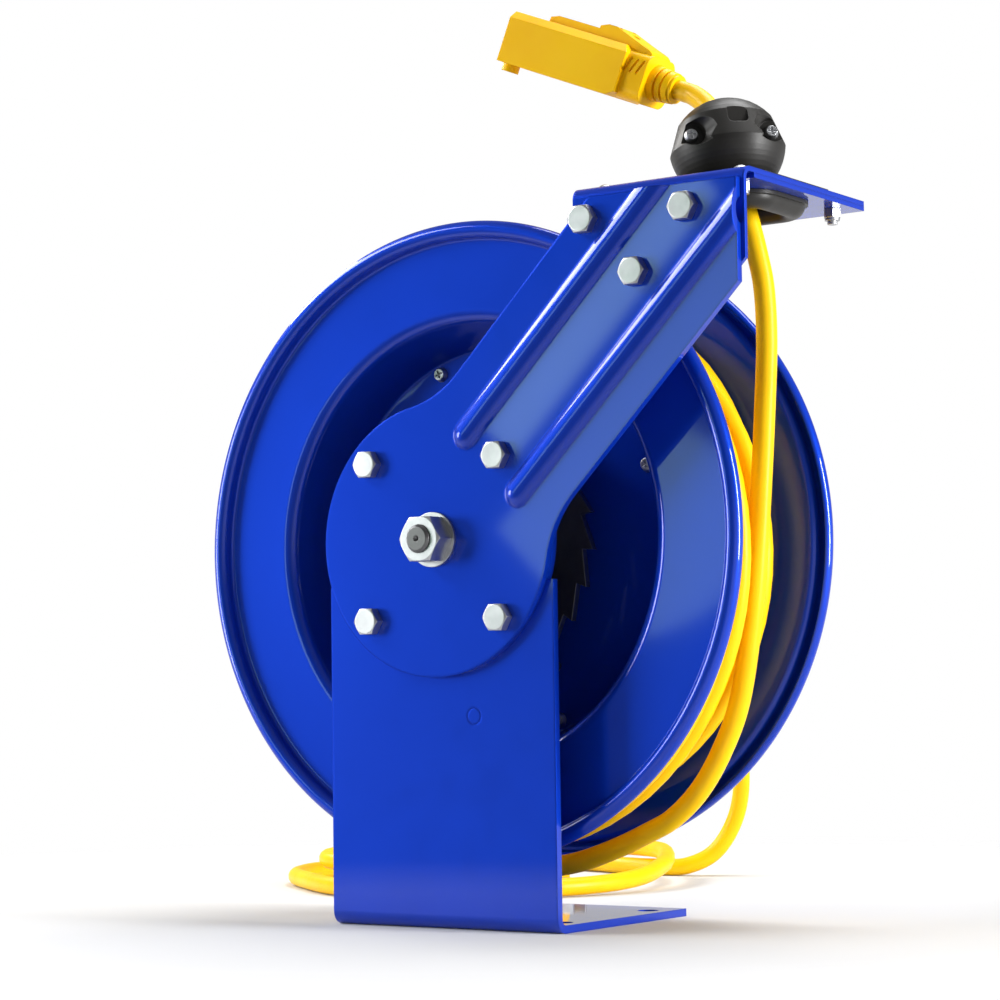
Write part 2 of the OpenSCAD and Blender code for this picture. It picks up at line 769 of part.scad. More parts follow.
module cord_gland() {
    y0 = housing_end_y - housing_t - 3;
    y1 = lead_route[0].y;
    body_y = housing_end_y + 3;
    color(black) translate([0, 0, axle_z - gland_drop]) difference() {
        union() {
            rotate([-90, 0, 0]) translate([0, 0, y0]) cylinder(r = 8, h = body_y - y0);
            hex_bar(0, 0, body_y, body_y + 6, 20);
            rotate([-90, 0, 0]) translate([0, 0, body_y + 6])
                cylinder(r1 = 9.6, r2 = 7.5, h = y1 - body_y - 6);
        }
        bar(0, 0, y0 - 1, y1 - 6, cord_r + 0.3);
    }
}

// ---- Drum ----

// One half of the drum as a line of [radius, depth], from its bore out over its rolled rim
function half_line(depth) =
    let (rim = flange_d / 2,
         roll_end = -60,
         wall = atan2(depth - dish_lip_r - floor_fillet_r, dish_mouth_r - dish_r))
    concat(
        [[hub_r + 0.1, 0]],
        arc([dish_r - floor_fillet_r, floor_fillet_r], floor_fillet_r, -90, wall - 90, 6),
        arc([dish_mouth_r + dish_lip_r, depth - dish_lip_r], dish_lip_r, wall + 90, 90, 8),
        arc([rim - 2 * rim_roll_r - rim_fillet_r, depth + rim_fillet_r], rim_fillet_r, -90, 0, 4),
        arc([rim - rim_roll_r, depth + rim_h - rim_roll_r], rim_roll_r, 180, roll_end, 16));

// The holes in the floors of both halves
module floor_holes() {
    on_axle() {
        around(4, floor_screw_r, floor_screw_start) cylinder(r = m4_r + bolt_gap / 2, h = 60, center = true);
        around(4, hub_bolt_r, 45) cylinder(r = m6_r + bolt_gap / 2, h = 60, center = true);
    }
}

// Front half: its depths run towards -Y from the floor's front face
module drum_front_half() {
    depth = floor_y - flat_y;
    line = [for (p = half_line(depth)) [p.x, floor_y - p.y]];
    color(paint) difference() {
        about_axle(band(line, sheet_t));
        floor_holes();
    }
}

// Rear half: back to back with the front half, with the opening for the cord in its wall
module drum_rear_half() {
    depth = rear_flat_y - rear_floor_y;
    line = [for (p = half_line(depth)) [p.x, rear_floor_y + p.y]];
    color(paint) difference() {
        about_axle(band(line, -sheet_t));
        floor_holes();
        on_axle(tail_y) rotate([0, 0, tail_heading]) translate([dish_r - 6, 0, 0])
            rotate([0, 90, 0]) cylinder(r = cord_r + gap, h = 20);
    }
}

// A cross-head screw whose head sits at the origin and whose shank runs along +Z
module pan_screw(head_r, head_h, r, length) {
    slot_w = 0.9;
    slot_l = 1.1 * head_r;
    difference() {
        translate([0, 0, -head_h]) cylinder(r1 = 0.74 * head_r, r2 = head_r, h = head_h);
        for (a = [0, 90]) rotate([0, 0, a])
            translate([-slot_l / 2, -slot_w / 2, -1.5 * head_h]) cube([slot_l, slot_w, head_h]);
    }
    cylinder(r = r, h = length);
}

module hex_nut(across, h, r) {
    difference() {
        cylinder(r = across / 2 / cos(30), h = h, $fn = 6);
        translate([0, 0, -1]) cylinder(r = r + seat, h = h + 2);
    }
}

module drum_screws() {
    color(zinc) on_axle(floor_y) around(4, floor_screw_r, floor_screw_start)
        pan_screw(4, 2.7, m4_r, 3 * sheet_t + 4.2);
}

module drum_nuts() {
    color(zinc) on_axle(rear_floor_y + sheet_t) around(4, floor_screw_r, floor_screw_start)
        hex_nut(7, 3.2, m4_r);
}

module drum_hub() {
    nose_y = wheel_y - 1;
    color(steel) difference() {
        about_axle([
            [bush_r, nose_y], [hub_r, nose_y], [hub_r, wheel_y + wheel_t], [boss_r, wheel_y + wheel_t],
            [boss_r, floor_y - hub_flange_t], [hub_flange_r, floor_y - hub_flange_t],
            [hub_flange_r, floor_y], [hub_r, floor_y], [hub_r, rear_floor_y], [bush_r, rear_floor_y]]);
        on_axle() around(4, hub_bolt_r, 45) cylinder(r = m6_r + bolt_gap / 2, h = 60, center = true);
        on_axle(wheel_y) around(4, slip_r, 0) cylinder(r = m5_r + seat, h = 14);
    }
}

module drum_hub_bolts() {
    color(zinc) on_axle(floor_y - hub_flange_t) around(4, hub_bolt_r, 45) {
        translate([0, 0, -4]) cylinder(r = 10 / 2 / cos(30), h = 4, $fn = 6);
        cylinder(r = m6_r, h = hub_flange_t + 2 * sheet_t + 5.5);
    }
}

module drum_hub_nuts() {
    color(zinc) on_axle(rear_floor_y) around(4, hub_bolt_r, 45) hex_nut(10, 5, m6_r);
}

module front_bush() {
    nose_y = wheel_y - 1;
    color(bronze) about_axle([
        [axle_r + run_gap, nose_y - 2], [bush_r + 4, nose_y - 2], [bush_r + 4, nose_y], [bush_r, nose_y],
        [bush_r, rear_floor_y], [axle_r + run_gap, rear_floor_y]]);
}

module rear_bush() {
    color(bronze) about_axle([
        [axle_r + run_gap, case_y - sheet_t], [bush_r, case_y - sheet_t], [bush_r, case_boss_y],
        [bush_r + 3, case_boss_y], [bush_r + 3, case_boss_y + 2], [axle_r + run_gap, case_boss_y + 2]]);
}

module ratchet_wheel() {
    teeth = [for (i = [0:ratchet_teeth - 1], top = [1, 0])
        let (a = tooth_heading + i * tooth)
        top == 1 ? wheel_r * turned(a) : wheel_root_r * turned(a + tooth)];
    color(steel) difference() {
        plate_y(wheel_y, wheel_y + wheel_t) polygon(teeth);
        bar(0, axle_z, wheel_y - 1, wheel_y + wheel_t + 1, hub_r + seat);
        on_axle(wheel_y - 1) around(4, slip_r, 0) cylinder(r = m5_r + bolt_gap / 2, h = wheel_t + 2);
    }
}

module ratchet_screws() {
    color(zinc) on_axle(wheel_y) around(4, slip_r, 0) pan_screw(4.5, 3, m5_r, 13);
}

module spring_case() {
    base_y = rear_floor_y;
    color(steel) difference() {
        about_axle([
            [case_r - sheet_t, base_y], [dish_r - floor_fillet_r - 0.3, base_y],
            [dish_r - floor_fillet_r - 0.3, base_y + sheet_t], [case_r, base_y + sheet_t],
            [case_r, case_y], [slip_r, case_y], [slip_r, case_boss_y], [bush_r, case_boss_y],
            [bush_r, case_y - sheet_t], [case_r - sheet_t, case_y - sheet_t]]);
        floor_holes();
        on_axle(case_y - 3) rotate([0, 0, tail_heading]) for (s = [-1, 1])
            translate([76, s * 10, 0]) cylinder(r = m4_r + seat, h = 6);
    }
}

// A flat spiral strip from the arbor to the wall of the case
module mainspring() {
    turns = 7;
    steps = 20;
    strip = 1.2;
    inner = axle_r + 4.6;
    outer = case_r - sheet_t - strip - 0.2;
    spiral = [for (i = [0:turns * steps])
        (inner + (outer - inner) * i / (turns * steps)) * turned(360 * i / steps)];
    color(steel) plate_y(rear_floor_y + 6, case_y - sheet_t - 2) polygon(band(spiral, -strip));
}

module slip_ring_hub() {
    color(black) ring_y(case_boss_y, case_boss_y + slip_len, bush_r + 3.4, slip_r);
}

module slip_rings() {
    color(copper) for (i = [0:2]) {
        y0 = case_boss_y + 5.7 + i * ring_pitch;
        ring_y(y0, y0 + ring_w, slip_r + seat, ring_r);
    }
}

module collector_wires() {
    color(black) on_axle(tail_y) rotate([0, 0, tail_heading]) for (s = [-1, 0, 1])
        translate([slip_r, s * 3.3, 0]) rotate([0, 90, 0]) cylinder(r = 1.6, h = 62 - slip_r);
}

module cord_tail() {
    color(yellow) on_axle(tail_y) rotate([0, 0, tail_heading]) translate([62, 0, 0])
        rotate([0, 90, 0]) cylinder(r = cord_r, h = dish_mouth_r - 0.4 - 62);
}

module cord_clamp() {
    color(black) on_axle(case_y) rotate([0, 0, tail_heading]) difference() {
        translate([70, -15, 0]) cube([12, 30, 14]);
        translate([69, 0, tail_y - case_y]) rotate([0, 90, 0]) cylinder(r = cord_r + seat, h = 14);
        for (s = [-1, 1]) translate([76, s * 10, -1]) cylinder(r = m4_r + seat, h = 16);
    }
}

module clamp_screws() {
    color(zinc) on_axle(case_y + 14) rotate([0, 0, tail_heading]) for (s = [-1, 1])
        translate([76, s * 10, 0]) rotate([180, 0, 0]) pan_screw(3.7, 2.6, m4_r, 16);
}

// ---- Cord on the drum ----

// The turns below the outer layer, as one ring between the barrel and that layer
module winding_core() {
    g = sheet_t + wall_gap;
    color(yellow) about_axle([
        [dish_mouth_r + dish_lip_r + 0.4, flat_y + sheet_t + gap], [core_r, flat_y + sheet_t + gap],
        [core_r, rear_flat_y - sheet_t - gap], [dish_mouth_r + dish_lip_r + 0.4, rear_flat_y - sheet_t - gap],
        [dish_mouth_r + g + 0.6, rear_flat_y - dish_lip_r - 1], [dish_r + g, rear_floor_y],
        [dish_r + g, floor_y], [dish_mouth_r + g + 0.6, flat_y + dish_lip_r + 1]]);
}

// Sag of a loose turn at an angle of the drum, none at the top
function sag(a) = pow((1 + cos(a - sag_heading)) / 2, 2.5);

// Slack of the one turn beside the rear flange that has sprung off the layer
function slack(a) = a > slack_heading + 180 && a < slack_heading + 540
    ? layer_slack * pow((1 + cos(a - slack_heading)) / 2, 3) : 0;

// Place along the winding after t turns: a tight layer, a climb, and then the loose turns
function winding_at(t) =
    let (climb = min(max((t - layer_turns) / climb_turns, 0), 1),
         loose = max(t - layer_turns - climb_turns, 0),
         start = min(t / 0.08, 1),
         a = winding_heading + 360 * t,
         r = core_r + 1.5 + (layer_r - core_r - 1.5) * start + (loose_r - layer_r) * climb
             + slack(a) + loose_sag * min(loose / 0.7, 1) * sag(a),
         y = layer_start_y - layer_pitch * min(t, layer_turns) + loose_pitch * loose)
    [r * cos(a), y, axle_z + r * sin(a)];

module winding_layer() {
    count = ceil(winding_turns * loop_rings);
    path = [for (i = [0:count]) winding_at(winding_turns * i / count)];
    reach = 2 * loop_rings + 8;
    near = min([for (i = [4:count - 13], j = [i + 12:min(count, i + reach)]) norm(path[i] - path[j])]);
    echo(loops = winding_turns, least_gap = near - cord_d);
    color(yellow) tube(path, cord_r, 6, [0, 1, 0]);
}

module cord_stretch() {
    color(yellow) tube(smooth(stretch_route), cord_r, 12, [0, 1, 0]);
}

// ---- Ball stop ----

module at_ball() {
    translate(ball_core) rotate([0, 0, ball_turn.y]) rotate([ball_turn.x, 0, 0]) rotate([0, 0, ball_turn.z])
        children();
}

// Round below its crease, with a sloping shoulder and a shallow dome above it
module ball_shape() {
    drop = asin(crease_z / ball_r);
    rise = ball_top_z - shoulder.y;
    dome_r = (shoulder.x * shoulder.x + rise * rise) / (2 * rise);
    dome_start = asin((dome_r - rise) / dome_r);
    rotate_extrude($fn = 96) polygon(concat(
        arc([0, 0], ball_r, -90, drop, 16),
        arc([0, ball_top_z - dome_r], dome_r, dome_start, 90, 8)));
}

// The way of the cord through the ball, wider than the cord
module ball_bore() {
    down = unit([147.5, -3, 357] - ball_core);
    up = unit([119.6, 11, 411] - ball_core);
    for (v = [down, up]) translate(ball_core)
        rotate([0, acos(v.z), atan2(v.y, v.x)]) cylinder(r = cord_r + bore_gap, h = 40);
    translate(ball_core) sphere(cord_r + bore_gap);
}

// Turns the local Z axis square to the plane between the two halves
module at_split() {
    rotate([split_tilt, 0, 0]) children();
}

module at_ball_screws(z) {
    for (s = [-1, 1]) translate([s * ball_screw_x, 0, z]) children();
}

module ball_rear_half() {
    color(black) difference() {
        at_ball() difference() {
            intersection() {
                ball_shape();
                at_split() translate([-40, -40, -80]) cube([80, 80, 80]);
            }
            at_split() at_ball_screws(-16) cylinder(r = 1.75, h = 20);
        }
        ball_bore();
    }
}

module ball_front_half() {
    color(black) difference() {
        at_ball() difference() {
            intersection() {
                ball_shape();
                at_split() translate([-40, -40, 0.05]) cube([80, 80, 80]);
            }
            at_split() at_ball_screws(0) {
                translate([0, 0, -1]) cylinder(r = 2, h = 20);
                translate([0, 0, screw_seat]) cylinder(r = 6.6, h = 20);
                translate([0, 0, screw_seat + 4]) cylinder(r1 = 6.6, r2 = 10.6, h = 9);
            }
            at_split() translate([1.5, 5.5, ball_r - 5.2]) linear_extrude(10) round_rect(5, 5.2, 2.6);
        }
        ball_bore();
    }
}

module ball_screws() {
    color(zinc) at_ball() at_split() at_ball_screws(screw_seat)
        mirror([0, 0, 1]) pan_screw(3.7, 2.6, 1.7, 26);
}

// ---- Connector ----

module at_connector() {
    translate(tail_at) rotate([0, connector_tilt, 0]) rotate([0, 0, 180]) children();
}

// A bar along local X with its long edges rounded
module soft_bar(x0, x1, hy, hz, r) {
    translate([x0, 0, 0]) rotate([90, 0, 90]) linear_extrude(x1 - x0) round_rect(hy, hz, r);
}

module outlet_slots() {
    for (s = [-1, 1]) translate([s * 6.2 - 1, -4, -1]) cube([2, 8, 16]);
    translate([0, -9, -1]) cylinder(r = 2.6, h = 16);
}

// The block seen from its side, and the raised outlet faces along its top
module block_side(x0) {
    polygon([[x0, -10.6], [x0 + 5, block_low], [connector_l, block_low], [connector_l, block_top],
             [x0 + 4, block_top], [x0, 10.6]]);
}

module outlet_ridge() {
    polygon([[16, 8], [16, 13.2], [18, 14.6], [28, 17.4], [42, 21.6], [47, 21.6], [52, 19.8], [52, 18.4],
             [79, 18.4], [84, 16.8], [85, 8]]);
}

// The block seen from its end, with its two top edges cut off
module block_end() {
    polygon([[-16, -16], [16, -16], [16, block_edge], [12, block_top + 0.01], [-12, block_top + 0.01],
             [-16, block_edge]]);
}

module connector_body() {
    x0 = sleeve_l + grip_l - 4;
    ridge_hy = 9;
    grip_hz = 12.6;
    slot_z = 21.6;
    color(yellow) at_connector() difference() {
        union() {
            intersection() {
                soft_bar(x0, connector_l, 16, 16, 3);
                translate([0, 16, 0]) rotate([90, 0, 0]) linear_extrude(32) block_side(x0);
                translate([x0, 0, 0]) rotate([90, 0, 90]) linear_extrude(connector_l - x0) block_end();
            }
            translate([0, ridge_hy, 0]) rotate([90, 0, 0]) linear_extrude(2 * ridge_hy) outlet_ridge();
            soft_bar(sleeve_l, x0 + 3, 13.4, grip_hz, 6);
            translate([connector_l - 6.5, 10.5, block_low - 4]) cylinder(r = 4.6, h = 6);
        }
        for (i = [0:2]) translate([sleeve_l + 3.6 + i * 4, 0, 5]) rotate([0, -24, 0]) difference() {
            cube([1.3, 60, 8], center = true);
            cube([3, 24.8, 9], center = true);
        }
        translate([connector_l, 0, 1]) rotate([0, -90, 0]) rotate([0, 0, 90]) outlet_slots();
        for (i = [0, 1]) translate([x0 + 17 + i * 32, 0, slot_z]) rotate([180, 0, 90]) outlet_slots();
        translate([sleeve_l - 1, 0, 0]) rotate([0, 90, 0]) cylinder(r = 7, h = 9);
    }
}

module connector_sleeve() {
    color(yellow) at_connector() difference() {
        union() {
            translate([2, 0, 0]) rotate([0, 90, 0]) cylinder(r1 = 8, r2 = 9.4, h = sleeve_l - 2);
            translate([0.2, 0, 0]) rotate([0, 90, 0]) cylinder(r = 7.4, h = 3);
            translate([sleeve_l - 1, 0, 0]) rotate([0, 90, 0]) cylinder(r = 6.9, h = 8.5);
        }
        for (i = [0:1]) translate([5.2 + i * 4, 0, 0]) rotate([0, 90, 0]) difference() {
            cylinder(r = 12, h = 1.2);
            cylinder(r = 7.2, h = 1.2);
        }
    }
}

// ---- Lead-in cord and its plug ----

module lead_in_cord() {
    color(yellow) tube(smooth(lead_route), cord_r, 8, [0, 0, 1]);
}

module lead_in_plug() {
    color(yellow) translate(plug_at) difference() {
        union() {
            rotate([0, 90, 0]) cylinder(r1 = 6.4, r2 = 8.6, h = 26);
            translate([24, 0, 0]) rotate([90, 0, 90]) linear_extrude(16) round_rect(11, 11, 8);
            translate([40, 0, 0]) rotate([90, 0, 90]) linear_extrude(18) round_rect(15.5, 13.5, 8);
        }
        for (i = [0:3]) translate([6 + i * 4.4, 0, 0]) rotate([0, 90, 0]) difference() {
            cylinder(r = 12, h = 1.6);
            cylinder(r = 5.9, h = 1.6);
        }
    }
}

module plug_blades() {
    color(zinc) translate(plug_at) {
        for (s = [-1, 1]) translate([58, s * 6.35 - 0.75, -1.2]) cube([17, 1.5, 6.4]);
        translate([58, 0, -7.8]) rotate([0, 90, 0]) cylinder(r = 2.4, h = 20);
    }
}

pedestal();
guide_arm();
hub_bolts();
hub_nuts();
arm_bolts();
arm_nuts();
guide_bracket();
backing_plate();
guide_bolts();
guide_locknuts();
fairlead_mouth();
fairlead_collar();
axle();
axle_washer();
axle_nut();
spacer_sleeve();
spring_arbor();
retaining_ring();
pawl_stud();
pawl();
pawl_spring();
pawl_clip();
collector_housing();
brush_holder();
brushes();
collector_washer();
collector_nut();
cord_gland();
drum_front_half();
drum_rear_half();
drum_screws();
drum_nuts();
drum_hub();
drum_hub_bolts();
drum_hub_nuts();
front_bush();
rear_bush();
ratchet_wheel();
ratchet_screws();
spring_case();
mainspring();
slip_ring_hub();
slip_rings();
collector_wires();
cord_tail();
cord_clamp();
clamp_screws();
winding_core();
winding_layer();
cord_stretch();
ball_rear_half();
ball_front_half();
ball_screws();
connector_body();
connector_sleeve();
lead_in_cord();
lead_in_plug();
plug_blades();
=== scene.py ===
"""Extension cord reel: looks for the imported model.

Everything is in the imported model's own frame: +Z up, the stand's front face towards -Y, the guide arm towards +X.
Lengths are metres, except in the drum, winding and cord sections, which are written in millimetres as part.scad is.
"""
import json
import math

import bmesh
import bpy
from mathutils import Matrix, Quaternion, Vector


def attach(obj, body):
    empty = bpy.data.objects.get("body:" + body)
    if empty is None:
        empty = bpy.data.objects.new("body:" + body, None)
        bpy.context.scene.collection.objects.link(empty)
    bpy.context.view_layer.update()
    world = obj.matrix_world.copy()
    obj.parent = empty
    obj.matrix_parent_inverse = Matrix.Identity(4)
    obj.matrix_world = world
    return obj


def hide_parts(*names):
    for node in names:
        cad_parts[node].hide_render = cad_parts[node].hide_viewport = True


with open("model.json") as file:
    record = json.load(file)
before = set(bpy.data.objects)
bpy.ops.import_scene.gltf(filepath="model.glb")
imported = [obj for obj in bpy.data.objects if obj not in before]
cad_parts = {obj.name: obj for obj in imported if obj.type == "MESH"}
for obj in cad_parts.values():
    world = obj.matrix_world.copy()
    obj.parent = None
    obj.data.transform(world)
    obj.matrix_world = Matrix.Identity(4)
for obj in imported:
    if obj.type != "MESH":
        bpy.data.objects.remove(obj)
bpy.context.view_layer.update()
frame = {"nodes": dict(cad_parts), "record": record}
nodes = frame["nodes"]

MM = 0.001
AXLE_Z = 194 * MM
CORD_R = 5.25 * MM
SMOOTH_ANGLE = 35


# ---- Camera: the photograph's own view ----

CAMERA_AT = Vector((0.7885, -1.1360, 0.1154))
CAMERA_AZIMUTH = math.radians(34.886)
CAMERA_PITCH = math.radians(4.217)
CAMERA_ROLL = math.radians(-0.796)
LENS_MM = 95.66
SENSOR_MM = 36.0


def make_camera():
    az, pitch, roll = CAMERA_AZIMUTH, CAMERA_PITCH, CAMERA_ROLL
    forward = Vector((-math.sin(az) * math.cos(pitch), math.cos(az) * math.cos(pitch), math.sin(pitch)))
    right = Vector((math.cos(az), math.sin(az), 0.0))
    up = right.cross(forward)
    rolled_right = right * math.cos(roll) + up * math.sin(roll)
    rolled_up = up * math.cos(roll) - right * math.sin(roll)
    data = bpy.data.cameras.new("camera")
    data.lens = LENS_MM
    data.sensor_width = SENSOR_MM
    data.sensor_height = SENSOR_MM
    camera = bpy.data.objects.new("camera", data)
    bpy.context.scene.collection.objects.link(camera)
    turn = Matrix((rolled_right, rolled_up, -forward)).transposed()
    camera.matrix_world = Matrix.Translation(CAMERA_AT) @ turn.to_4x4()
    bpy.context.scene.camera = camera


# ---- Materials ----

SUBSURFACE_YELLOW = (1.0, 0.6, 0.1)


class Tree:
    """A short way to write a node tree."""

    def __init__(self, tree):
        self.tree = tree

    def add(self, kind, **settings):
        node = self.tree.nodes.new(kind)
        for key, value in settings.items():
            setattr(node, key, value)
        return node

    def link(self, source, target):
        self.tree.links.new(source, target)

    def spread(self, source, low, high, to_low, to_high):
        """Maps low..high to to_low..to_high and holds the value at both ends."""
        node = self.add("ShaderNodeMapRange")
        for key, value in (("From Min", low), ("From Max", high), ("To Min", to_low), ("To Max", to_high)):
            node.inputs[key].default_value = value
        self.link(source, node.inputs["Value"])
        return node.outputs["Result"]


class Surface(Tree):
    """A material whose colour and roughness vary a little over the surface."""

    def __init__(self, name):
        self.material = bpy.data.materials.new(name)
        self.material.use_nodes = True
        super().__init__(self.material.node_tree)
        self.shader = self.tree.nodes["Principled BSDF"]

    def set(self, **values):
        for key, value in values.items():
            self.shader.inputs[key.replace("_", " ")].default_value = value

    def object_place(self):
        return self.add("ShaderNodeTexCoord").outputs["Object"]

    def noise(self, scale, detail):
        node = self.add("ShaderNodeTexNoise")
        node.inputs["Scale"].default_value = scale
        node.inputs["Detail"].default_value = detail
        self.link(self.object_place(), node.inputs["Vector"])
        return node.outputs["Fac"]

    def colours(self, first, second, scale, detail, low=0.35, high=0.65):
        node = self.add("ShaderNodeMix", data_type="RGBA")
        node.inputs["A"].default_value = (*first, 1)
        node.inputs["B"].default_value = (*second, 1)
        self.link(self.spread(self.noise(scale, detail), low, high, 0, 1), node.inputs["Factor"])
        self.link(node.outputs["Result"], self.shader.inputs["Base Color"])

    def roughness(self, smooth, rough, scale, detail):
        self.link(self.spread(self.noise(scale, detail), 0.3, 0.7, smooth, rough), self.shader.inputs["Roughness"])

    def bump(self, scale, detail, strength, distance, edge=None):
        """Fine unevenness, with edges softened over a radius of edge metres."""
        node = self.add("ShaderNodeBump")
        node.inputs["Strength"].default_value = strength
        node.inputs["Distance"].default_value = distance
        self.link(self.noise(scale, detail), node.inputs["Height"])
        if edge:
            soft = self.add("ShaderNodeBevel", samples=6)
            soft.inputs["Radius"].default_value = edge
            self.link(soft.outputs["Normal"], node.inputs["Normal"])
        self.link(node.outputs["Normal"], self.shader.inputs["Normal"])


def paint_material():
    m = Surface("blue_gloss_paint")
    m.set(Metallic=0.4, Specular_IOR_Level=0.0, Coat_Weight=1.0, Coat_Roughness=0.05, Coat_IOR=1.42)
    m.colours((0.0034, 0.037, 0.45), (0.0042, 0.042, 0.49), 6, 3)
    m.roughness(0.34, 0.44, 60, 5)
    m.bump(260, 2, 0.05, 0.00010, edge=0.0017)
    return m.material


def cord_material():
    m = Surface("yellow_jacket")
    m.set(Specular_IOR_Level=0.15, Coat_Weight=0.10, Coat_Roughness=0.25, Subsurface_Weight=0.05,
          Subsurface_Scale=0.003, Subsurface_Radius=SUBSURFACE_YELLOW)
    m.colours((0.93, 0.53, 0.001), (0.97, 0.59, 0.002), 35, 5)
    m.roughness(0.34, 0.50, 120, 4)
    m.bump(900, 3, 0.12, 0.00025)
    return m.material


def yellow_plastic_material():
    m = Surface("yellow_moulded")
    m.set(Specular_IOR_Level=0.10, Coat_Weight=0.05, Coat_Roughness=0.18, Subsurface_Weight=0.05,
          Subsurface_Scale=0.003, Subsurface_Radius=SUBSURFACE_YELLOW)
    m.colours((0.94, 0.51, 0.001), (0.98, 0.57, 0.002), 28, 4)
    m.roughness(0.28, 0.42, 90, 4)
    m.bump(1500, 2, 0.10, 0.00015, edge=0.0006)
    return m.material


def black_plastic_material():
    m = Surface("black_moulded")
    m.set(Specular_IOR_Level=0.35)
    m.colours((0.011, 0.010, 0.009), (0.017, 0.016, 0.014), 40, 4)
    m.roughness(0.36, 0.50, 70, 5)
    m.bump(2600, 2, 0.22, 0.00012, edge=0.0006)
    return m.material


def metal_material(name, first, second, smooth, rough):
    m = Surface(name)
    m.set(Metallic=1.0)
    m.colours(first, second, 120, 5, 0.3, 0.7)
    m.roughness(smooth, rough, 300, 5)
    m.bump(900, 3, 0.05, 0.00006, edge=0.0006)
    return m.material


def make_materials():
    """One material for each material slot of the record."""
    return {
        "blue_paint": paint_material(),
        "zinc": metal_material("bright_zinc", (0.45, 0.46, 0.48), (0.56, 0.57, 0.59), 0.34, 0.46),
        "dark_steel": metal_material("dark_steel", (0.135, 0.135, 0.14), (0.165, 0.165, 0.168), 0.34, 0.44),
        "black_plastic": black_plastic_material(),
        "bronze": metal_material("sintered_bronze", (0.48, 0.30, 0.12), (0.62, 0.40, 0.18), 0.30, 0.45),
        "copper": metal_material("contact_copper", (0.70, 0.36, 0.20), (0.80, 0.44, 0.26), 0.25, 0.40),
        "cord_jacket": cord_material(),
        "yellow_plastic": yellow_plastic_material(),
    }


def dress_nodes():
    """Gives every carried-over node the material of its slot."""
    for part in frame["record"]["subparts"]:
        mesh = nodes[part["node"]].data
        mesh.materials.clear()
        mesh.materials.append(materials[part["material_slot"]])


# ---- Making pieces ----


def dress(piece, body, slot_name, replaced):
    """Puts a new piece on its body in place of the CAD node that it replaces."""
    piece.data.materials.append(materials[slot_name])
    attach(piece, body)
    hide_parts(replaced)
    return piece


def mesh_piece(name, vertices, faces):
    """A mesh that is smooth, apart from edges sharper than SMOOTH_ANGLE."""
    mesh = bpy.data.meshes.new(name)
    mesh.from_pydata([tuple(v) for v in vertices], [], faces)
    mesh.validate()
    piece = bpy.data.objects.new(name, mesh)
    bpy.context.scene.collection.objects.link(piece)
    work = bmesh.new()
    work.from_mesh(mesh)
    bmesh.ops.remove_doubles(work, verts=work.verts, dist=1e-7)
    bmesh.ops.recalc_face_normals(work, faces=work.faces)
    limit = math.radians(SMOOTH_ANGLE)
    for face in work.faces:
        face.smooth = True
    for edge in work.edges:
        if len(edge.link_faces) == 2 and edge.calc_face_angle(0) > limit:
            edge.smooth = False
    work.to_mesh(mesh)
    work.free()
    return piece


def lathe(name, profile, steps):
    """Revolves a closed profile of [radius, y] points, in millimetres, about the axle."""
    rings = [[(r * math.cos(a) * MM, y * MM, AXLE_Z + r * math.sin(a) * MM)
              for a in (2 * math.pi * k / steps for k in range(steps))] for r, y in profile]
    faces = []
    for i in range(len(profile)):
        j = (i + 1) % len(profile)
        for k in range(steps):
            n = (k + 1) % steps
            faces.append((i * steps + k, i * steps + n, j * steps + n, j * steps + k))
    return mesh_piece(name, [p for ring in rings for p in ring], faces)


def smooth_route(route, steps=8):
    """A Catmull-Rom curve through a route in millimetres, as points in metres."""
    p = [Vector(q) for q in route]
    p = [2 * p[0] - p[1]] + p + [2 * p[-1] - p[-2]]
    out = []
    for i in range(1, len(p) - 2):
        a, b, c, d = p[i - 1:i + 3]
        for k in range(steps):
            t = k / steps
            out.append(0.5 * (2 * b + (c - a) * t + (2 * a - 5 * b + 4 * c - d) * t * t
                              + (3 * b - a - 3 * c + d) * t ** 3))
    out.append(p[-2])
    return [q * MM for q in out]


def cord_curve(name, points):
    """A round cord along points in metres, as one open spline."""
    data = bpy.data.curves.new(name, "CURVE")
    data.dimensions = "3D"
    data.bevel_depth = CORD_R
    data.bevel_resolution = 5
    data.use_fill_caps = True
    spline = data.splines.new("POLY")
    spline.points.add(len(points) - 1)
    for point, place in zip(spline.points, points):
        point.co = (*place, 1)
    spline.use_smooth = True
    piece = bpy.data.objects.new(name, data)
    bpy.context.scene.collection.objects.link(piece)
    return piece


# ---- Cords, on the same routes as in part.scad ----

STRETCH_ROUTE = [
    (99.8, 16, 422.9), (104.6, 16, 420.9), (110, 15.3, 418.2), (119.6, 11, 411), (129, 5, 400), (137, 0, 387),
    (143, -2, 372), (147.5, -3, 357), (151, -3, 344), (154, -2, 330), (156.2, 0, 313), (156, 2, 288),
    (153.2, 4, 258), (150.7, 4, 224), (146.9, 4, 180), (143.3, 4, 151), (135.7, 4, 112), (124.9, 4, 87),
    (111.9, 4, 67.6), (97, 4, 54), (82.4, 4, 46.4), (60, 4, 37), (34, 4, 29.3), (0, 4, 26), (-40, 4, 31),
    (-80, 4, 48), (-112, 4, 75), (-133, 4, 108), (-143, 4, 145), (-146.5, 4, 185), (-139, 4, 226),
    (-122, 4, 265)]

